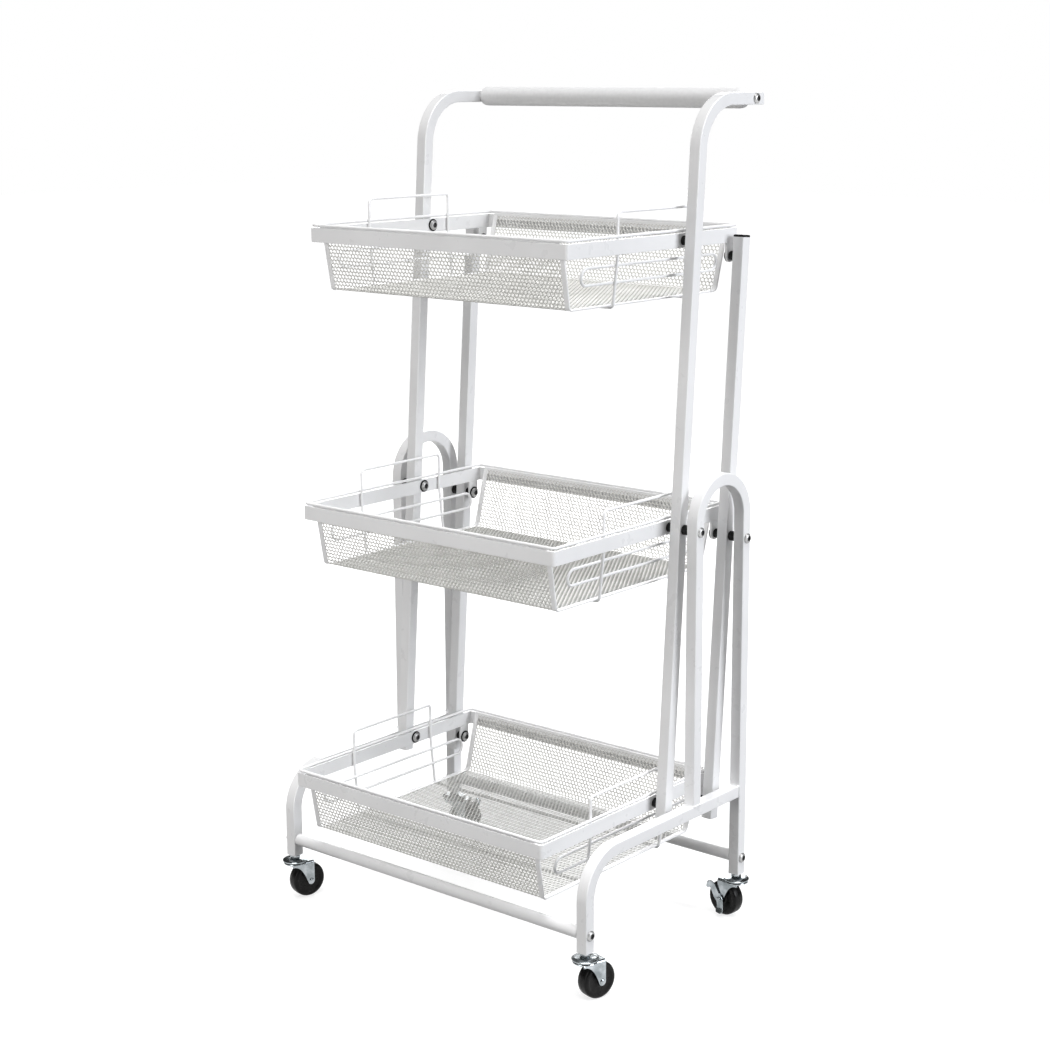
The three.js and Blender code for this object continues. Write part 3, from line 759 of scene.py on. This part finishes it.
def arm_low(x, trail, axle, crown):
    """Height of the fork's lower edge at x: a concave sweep, then the round end at the axle."""
    finish = trail - ARM_END
    if x >= finish:
        inside = max(0.0, ARM_END ** 2 - (x - trail) ** 2)
        return axle - math.sqrt(inside)
    t = min(1.0, max(0.0, (x - FORK_TOE) / (finish - FORK_TOE)))
    drop = 0.10 * t + 0.90 * t ** 2.6
    return crown - SKIRT - (crown - SKIRT - axle) * drop


def fork_section(x, trail, axle, crown, inward):
    """The fork's section at x as (y, z), from edge to edge over the crown, moved inward."""
    half, top, r, steps = FORK_HALF + FORK_SHEET / 2 - inward, crown - inward, SHOULDER - inward, 6
    low = arm_low(x, trail, axle, crown)
    right = [(half, low + (top - SHOULDER - low) * k / steps) for k in range(steps + 1)]
    for k in range(steps + 1):
        a = math.radians(90 * k / steps)
        right.append((half - SHOULDER + inward + r * math.cos(a), top - r + r * math.sin(a)))
    return right + [(-y, z) for y, z in reversed(right)]


def fork_sheet(trail, axle, crown):
    """The pressed sheet: an outer and an inner skin, joined along every edge."""
    shape, skins, count = Shape(), [], 26
    length = trail + ARM_END - FORK_TOE
    stations = [FORK_TOE + length * (0.5 - 0.5 * math.cos(math.pi * i / count))
                for i in range(count + 1)]
    for inward, flip in ((0.0, False), (FORK_SHEET, True)):
        rows = []
        for x in stations:
            section = fork_section(x, trail, axle, crown, inward)
            rows.append(shape.ring(Vector((x, y, z)) for y, z in section))
        for a, b in zip(rows, rows[1:]):
            for i in range(len(a) - 1):
                shape.face((a[i], a[i + 1], b[i + 1], b[i]), flip)
        skins.append(rows)
    outer, inner = skins
    for a, b in zip(range(count), range(1, count + 1)):
        shape.face((outer[a][0], outer[b][0], inner[b][0], inner[a][0]))
        shape.face((outer[b][-1], outer[a][-1], inner[a][-1], inner[b][-1]))
    for end, flip in ((0, False), (-1, True)):
        a, b = outer[end], inner[end]
        for i in range(len(a) - 1):
            shape.face((a[i], b[i], b[i + 1], a[i + 1]), flip)
    return shape


def caster_fork(corner):
    """Pressed fork with the bearing ring in its crown and the axle's rivet heads."""
    node = f"caster_fork_{corner}"
    place, trail = caster_matrix(corner)
    axle = joint_point(f"roll_{corner}").z
    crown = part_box(node)[1].z - 0.0003
    shape = fork_sheet(trail, axle, crown)
    bore, foot = 0.0034, crown - 0.0022
    ring = [(foot, bore), (foot, 0.0118), (crown - 0.0017, 0.0126), (crown - 0.0008, 0.0128),
            (crown - 0.0002, 0.0124), (crown, 0.0116), (crown, bore), (foot, bore)]
    lathe(shape, ring, (0, 0, 0), Z, 44)
    reach, shank = FORK_HALF + FORK_SHEET / 2, 0.0016
    for sign in (-1, 1):
        braked = sign > 0 and f"brake_lever_{corner}" in frame["nodes"]
        out = reach + (0.0022 if braked else 0.0)
        rivet = [(reach - 0.012, shank), (reach - 0.0002, shank), (reach - 0.0002, 0.0029),
                 (out + 0.0003, 0.0031), (out + 0.0008, 0.0027), (out + 0.0013, 0.0016),
                 (out + 0.0014, 0)]
        lathe(shape, rivet, (trail, 0, axle), Y * sign, 24)
    shape.move(place)
    piece(f"fork_{corner}", shape, ZINC, f"swivel_{corner}", "zinc", node, sharp=40)


def caster_wheel(corner):
    """Rounded tread, recessed face with a raised hub, moulding line round the tread."""
    place, trail = caster_matrix(corner)
    axle = joint_point(f"roll_{corner}").z
    half, r, bore = WHEEL_HALF, axle, 0.0024
    hub, recess = half + 0.0004, half - 0.0011
    side = [(hub, bore), (hub, 0.0052), (half - 0.0004, 0.0060), (recess, 0.0072),
            (recess, r - 0.0068), (half - 0.0004, r - 0.0055), (half, r - 0.0040),
            (half - 0.0003, r - 0.0022), (half - 0.0012, r - 0.0009), (half - 0.0026, r - 0.0002),
            (0.0006, r), (0.0003, r - 0.00025)]
    far_side = [(-along, radius) for along, radius in side]
    shape = lathe(Shape(), far_side + side[::-1] + far_side[:1], (trail, 0, axle), Y, 64)
    shape.move(place)
    piece(f"wheel_tyre_{corner}", shape, WHEEL, f"wheel_{corner}", "wheel", f"caster_wheel_{corner}")


def lever_width(t):
    """Width of the brake lever, t from 0 to 1: a boss at the axle, a wider tab at each end."""
    boss = math.exp(-((t - 0.52) / 0.12) ** 2)
    upper_tab = max(0.0, 0.25 - t) / 0.25
    lower_tab = max(0.0, t - 0.8) / 0.2
    width = 0.0082 + 0.0014 * boss + 0.0026 * upper_tab + 0.002 * lower_tab
    return width * min(1.0, 0.55 + 6 * min(t, 1 - t))


def brake_lever(corner):
    """Pressed brake lever: a bowed strip with a foot tab curled out at each end."""
    node = f"brake_lever_{corner}"
    place, trail = caster_matrix(corner)
    axle = joint_point(f"roll_{corner}").z
    route = [(0.0135, 0.0056, 0.0160), (0.0112, 0.0020, 0.0152), (0.0085, 0.0004, 0.0120),
             (0.0040, 0, 0.0040), (0, 0, 0), (-0.0015, 0.0004, -0.0060),
             (-0.0020, 0.0016, -0.0110), (-0.0016, 0.0042, -0.0143)]
    seat = Vector((trail, FORK_HALF + FORK_SHEET / 2 + 0.0013, axle))
    path = smooth([seat + Vector(step) for step in route], 5)
    last = len(path) - 1
    shape, rings = Shape(), []
    for i, point in enumerate(path):
        along = (path[min(i + 1, last)] - path[max(i - 1, 0)]).normalized()
        out = (Y - along * along.y).normalized()
        across = out.cross(along)
        section = rounded_box(lever_width(i / last), LEVER_SHEET, 0.0005, 2)
        rings.append(shape.ring(point + across * a + out * b for a, b in section))
    shape.solid(rings)
    shape.move(place)
    piece(f"brake_{corner}_pedal", shape, ZINC, f"brake_{corner}", "zinc", node)


def smooth(points, steps):
    """A Catmull-Rom curve through the points."""
    points = [Vector(p) for p in points]
    ends = [2 * points[0] - points[1]] + points + [2 * points[-1] - points[-2]]
    curve = []
    for a, b, c, d in zip(ends, ends[1:], ends[2:], ends[3:]):
        for s in range(steps):
            t = s / steps
            curve.append(0.5 * ((2 * b) + (c - a) * t + (2 * a - 5 * b + 4 * c - d) * t ** 2
                                + (3 * b - a - 3 * c + d) * t ** 3))
    return curve + [points[-1]]


# ---------------------------------------------------------------- baskets
def basket_ring(tier, inset_by, z, radius):
    """The closed path round a basket at a distance inside its outer faces."""
    low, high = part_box(f"basket_frame_{tier}")
    x0, x1 = low.x + inset_by, high.x - inset_by
    y0, y1 = low.y + inset_by, high.y - inset_by
    corners = [(x0, y0, z), (x1, y0, z), (x1, y1, z), (x0, y1, z)]
    return bent_path(corners, radius, 8, closed=True)


def basket_frame(tier):
    """Flat strap on edge, the rim wire above it, and the ears that carry the rear pivots."""
    pivot, body = PIVOTS[tier], f"basket_{tier}"
    strap = basket_ring(tier, STRAP / 2, pivot.z, RING_CORNER - STRAP / 2)
    section = [(b, a) for a, b in rounded_box(STRAP_HEIGHT, STRAP, 0.0005, 2)][::-1]
    shape = sweep(Shape(), strap, section, Y * -1, closed=True)
    y, z = LINK.y, LINK.z
    root = 0.0001 - STRAP_HEIGHT / 2
    outline = [(y - EAR, root)] + arc(y, z, EAR, 180, 360, 14) + [(y + EAR, root)]
    for low_x in (-STRAP_OUTER, STRAP_OUTER - STRAP):
        plate(shape, outline, STRAP, Vector((low_x, pivot.y, pivot.z)), Y, Z, 0.0004)
    piece(f"strap_{tier}", shape, PAINT, body, "white_paint", f"basket_frame_{tier}")
    rim_z = pivot.z + STRAP_HEIGHT / 2 + RIM_GAP + RIM
    path = basket_ring(tier, RIM, rim_z, RIM_CORNER - RIM)
    rim = sweep(Shape(), path, circle(RIM, 12), Z, closed=True)
    piece(f"rim_wire_{tier}", rim, WIRE, body, "wire_paint")


def tray_profile(tier):
    """The folded sheet's middle line, front to rear, as (y, z) relative to the pivot."""
    low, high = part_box(f"basket_tray_{tier}")
    pivot, margin = PIVOTS[tier], 0.0007
    front, rear = low.y - pivot.y + margin, high.y - pivot.y - margin
    top = STRAP_HEIGHT / 2 - 0.001
    corners = [(0, front, top), (0, TRAY_FRONT, -STRAP_HEIGHT / 2), (0, FLOOR_FRONT, -TRAY_DEPTH),
               (0, rear - REAR_LEAN, -TRAY_DEPTH), (0, rear, top)]
    return bent_path(corners, [0, 0.006, 0.004, 0.006, 0], 6)


def tray_half_width(z):
    """Half width of the tray at height z, measured up from the pivot."""
    t = (z + TRAY_DEPTH) / (TRAY_DEPTH - STRAP_HEIGHT / 2)
    return TRAY_LOW + (TRAY_HIGH - TRAY_LOW) * min(1.0, max(0.0, t))


class Sheet:
    """Maps (across, along) on the flat sheet to the folded tray."""

    PROBE = 0.0004  # distance over which the sheet's direction is measured

    def __init__(self, tier):
        self.pivot = PIVOTS[tier]
        path = tray_profile(tier)
        self.y = np.array([p.y for p in path])
        self.z = np.array([p.z for p in path])
        steps = np.hypot(np.diff(self.y), np.diff(self.z))
        self.s = np.concatenate([[0], np.cumsum(steps)])
        self.length = float(self.s[-1])
        floor = np.flatnonzero(self.z < -TRAY_DEPTH + 1e-5)
        self.folds = (float(self.s[floor[0]]), float(self.s[floor[-1]]))

    def point(self, across, along, out=0.0):
        """across from -1 to 1, along in metres; out is towards the inside of the tray."""
        ahead, behind = along + self.PROBE, along - self.PROBE
        y, z = np.interp(along, self.s, self.y), np.interp(along, self.s, self.z)
        dy = np.interp(ahead, self.s, self.y) - np.interp(behind, self.s, self.y)
        dz = np.interp(ahead, self.s, self.z) - np.interp(behind, self.s, self.z)
        step = math.hypot(dy, dz) or 1.0
        x = across * tray_half_width(z)
        return self.pivot + Vector((x, y - dz / step * out, z + dy / step * out))


def expanded_mesh(sheet, first, last):
    """Rows of expanded-metal cells: six-sided openings between tilted strands, one closed mesh."""
    shape, index, edges = Shape(), {}, {}
    columns = int(2 * TRAY_LOW / CELL)
    pitch = 2.0 / columns
    flank, apex = ROW * 0.27, ROW * 0.73
    ridge = [(0, apex), (0.5, flank), (0.5, -flank), (0, -apex), (-0.5, -flank), (-0.5, flank)]
    tilt = (1, 0.35, -0.35, -1, -0.35, 0.35)  # the opening's edge leans out of the sheet
    thick, thin = SHEET * 0.62, SHEET * 0.5  # half thickness at a strand's middle and edge
    hole_x, hole_y = 1 - STRAND / CELL, 1 - 0.62 * STRAND / apex

    def corner(across, along, level):
        """A vertex that neighbouring cells share."""
        key = (round(across * 1e5), round(along * 1e6), level)
        if key not in index:
            index[key] = shape.ring([sheet.point(across, along, level * thick)])[0]
        return index[key]

    for row in range(first, last):
        shift = 0.5 if row % 2 else 0.0
        centre_along = (row + 0.5) * ROW
        for column in range(columns - (row % 2)):
            centre = -1 + (column + 0.5 + shift) * pitch
            upper, lower, hole = [], [], []
            for (a, b), lean in zip(ridge, tilt):
                upper.append(corner(centre + a * pitch, centre_along + b, 1))
                lower.append(corner(centre + a * pitch, centre_along + b, -1))
                rim = sheet.point(centre + a * pitch * hole_x, centre_along + b * hole_y,
                                  lean * thin)
                hole.extend(shape.ring([rim]))
            for i in range(6):
                k = (i + 1) % 6
                shape.faces.append((upper[i], upper[k], hole[k], hole[i]))
                shape.faces.append((lower[k], lower[i], hole[i], hole[k]))
                edge = tuple(sorted((upper[i], upper[k])))
                edges.setdefault(edge, []).append((upper[i], upper[k], lower[k], lower[i]))
    for quads in edges.values():
        if len(quads) == 1:
            shape.face(quads[0], flip=True)
    return shape


def tray(tier):
    """Expanded mesh folded to a tray, with plain hems along its edges and an edge wire."""
    sheet, body = Sheet(tier), f"basket_{tier}"
    rows = int(sheet.length / ROW)
    fold_a, fold_b = (int(f / ROW) for f in sheet.folds)
    parts = {"front": (0, fold_a), "floor": (fold_a, fold_b), "rear": (fold_b, rows)}
    for part, (first, last) in parts.items():
        nodes = (f"basket_tray_{tier}",) if part == "floor" else ()
        piece(f"mesh_{part}_{tier}", expanded_mesh(sheet, first, last), MESH, body, "wire_paint",
              *nodes, sharp=60)
    piece(f"tray_hem_{tier}", tray_hem(sheet), WIRE, body, "wire_paint")


def tray_hem(sheet):
    """A plain band and an edge wire along each side, and a band across each end."""
    shape, count = Shape(), 60
    stations = sorted(set([sheet.length * i / count for i in range(count + 1)] + list(sheet.s)))
    side_band = rounded_box(HEM, 0.0013, 0.0005, 2)
    end_band = rounded_box(0.0075, 0.0012, 0.0005, 2)
    for sign in SIDES.values():
        edge = [sheet.point(sign, s) for s in stations]
        sweep(shape, [p - X * (sign * HEM / 2) for p in edge], side_band, X)
        sweep(shape, edge, circle(EDGE_WIRE, 10), X)
    for s in (0.0, sheet.length):
        sweep(shape, [sheet.point(sign, s) - Z * 0.0012 for sign in SIDES.values()], end_band, Z)
    return shape


def wire_guard(tier):
    """One wire runs up, over and down each side and across under the tray; a loop hangs on it."""
    node, body = f"wire_guard_{tier}", f"basket_{tier}"
    low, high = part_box(node)
    pivot = PIVOTS[tier]
    top, bottom = high.z - GUARD, low.z + GUARD
    gap = 0.0003
    upper = STRAP_OUTER - 2 * RIM - GUARD - gap
    lower = TRAY_LOW + GUARD + gap
    knee = pivot.z - STRAP_HEIGHT / 2
    front, rear = pivot.y + HOOP_FRONT, pivot.y + HOOP_REAR
    right = [(lower, front, bottom), (upper, front, knee), (upper, front, top), (upper, rear, top),
             (upper, rear, knee), (lower, rear, bottom)]
    left = [(-x, y, z) for x, y, z in reversed(right)]
    path = bent_path(right + left, 0.0045, 6, closed=True)
    shape = sweep(Shape(), path, circle(GUARD, 12), Y, closed=True)
    piece(f"guard_hoop_{tier}", shape, WIRE, body, "wire_paint", node)
    loops = Shape()
    slope = (upper - lower) / (knee - bottom)
    radius = (LOOP_HIGH - LOOP_LOW) / 2 - CLEAR
    for sign in SIDES.values():
        ring = []
        for y, z in ((LOOP_FRONT, LOOP_LOW), (LOOP_REAR, LOOP_LOW), (LOOP_REAR, LOOP_HIGH),
                     (LOOP_FRONT, LOOP_HIGH)):
            x = lower + (pivot.z + z - bottom) * slope - 2 * GUARD + 0.0004
            ring.append((sign * x, pivot.y + y, pivot.z + z))
        path = bent_path(ring, radius, 12, closed=True)
        sweep(loops, path, circle(GUARD, 12), X, closed=True)
    piece(f"guard_loops_{tier}", loops, WIRE, body, "wire_paint")


# ---------------------------------------------------------------- build
for side_name in SIDES:
    side_rail(side_name)
    arch(side_name)
    front_post(side_name)
    rear_post(side_name)
for end_name in ("front", "rear"):
    cross_tube(end_name)
handle()
end_bolts()
pivot_bolts()
for corner_name in CORNERS:
    caster_stem(corner_name)
    caster_fork(corner_name)
    caster_wheel(corner_name)
    if corner_name.startswith("rear"):
        brake_lever(corner_name)
for tier_name in TIERS:
    basket_frame(tier_name)
    tray(tier_name)
    wire_guard(tier_name)


# ---------------------------------------------------------------- floor, light, camera
def floor():
    mesh = bpy.data.meshes.new("floor")
    reach = 12.0
    mesh.from_pydata([(-reach, -reach, 0), (reach, -reach, 0), (reach, reach, 0), (-reach, reach, 0)],
                     [], [(0, 1, 2, 3)])
    look = Look("floor", 0.7, Emission_Color=(1, 1, 1, 1), Emission_Strength=0.72)
    look.colour(look.noise(3, 2), (0.36, 0.36, 0.36), (0.38, 0.38, 0.38))
    mesh.materials.append(look.material)
    made = bpy.data.objects.new("floor", mesh)
    made.visible_diffuse = False
    bpy.context.scene.collection.objects.link(made)


def area_light(name, place, target, width, height, power, colour=(1, 1, 1)):
    data = bpy.data.lights.new(name, "AREA")
    data.shape = "RECTANGLE"
    data.size = width
    data.size_y = height
    data.energy = power
    data.color = colour
    lamp = bpy.data.objects.new(name, data)
    lamp.location = place
    lamp.visible_camera = False
    lamp.rotation_euler = (Vector(target) - Vector(place)).to_track_quat("-Z", "Y").to_euler()
    bpy.context.scene.collection.objects.link(lamp)


def overhead():
    """A wide soft light from almost straight above, even over the whole floor."""
    data = bpy.data.lights.new("overhead", "SUN")
    data.energy = 3.1
    data.angle = math.radians(40)
    lamp = bpy.data.objects.new("overhead", data)
    lamp.rotation_euler = (math.radians(6), math.radians(8), 0)
    bpy.context.scene.collection.objects.link(lamp)


def surroundings():
    """White to look at, dimmer as a light, so that the white paint keeps its shading."""
    world = bpy.data.worlds.new("studio")
    world.use_nodes = True
    nodes, links = world.node_tree.nodes, world.node_tree.links
    background = nodes["Background"]
    background.inputs["Color"].default_value = (1, 1, 1, 1)
    path = nodes.new("ShaderNodeLightPath")
    strength = nodes.new("ShaderNodeMapRange")
    strength.inputs["To Min"].default_value = 0.07
    strength.inputs["To Max"].default_value = 1.0
    links.new(path.outputs["Is Camera Ray"], strength.inputs["Value"])
    links.new(strength.outputs["Result"], background.inputs["Strength"])
    bpy.context.scene.world = world


def studio():
    """A large light on the right, a weak one in front, one behind, and light from above."""
    aim = (0, 0, 0.45)
    area_light("key", (2.95, 0.75, 1.4), aim, 1.2, 1.6, 79, (0.94, 0.96, 1.0))
    area_light("fill", (-0.1, -1.6, 0.75), aim, 0.8, 1.3, 13, (1.0, 0.99, 0.98))
    area_light("back", (-1.7, 2.3, 1.2), aim, 1.6, 1.6, 44)
    overhead()
    surroundings()
    bpy.context.scene.view_settings.view_transform = "Standard"


def camera():
    data = bpy.data.cameras.new("camera")
    data.sensor_width = 36
    data.lens = 69.66
    data.shift_x = -0.0524
    data.shift_y = -0.0238
    made = bpy.data.objects.new("camera", data)
    azimuth, elevation = 38.822, 11.794
    made.location = (1.3893, -1.6197, 0.9062)
    made.rotation_euler = (math.radians(90 - elevation), 0, math.radians(azimuth))
    bpy.context.scene.collection.objects.link(made)
    bpy.context.scene.camera = made


floor()
studio()
camera()
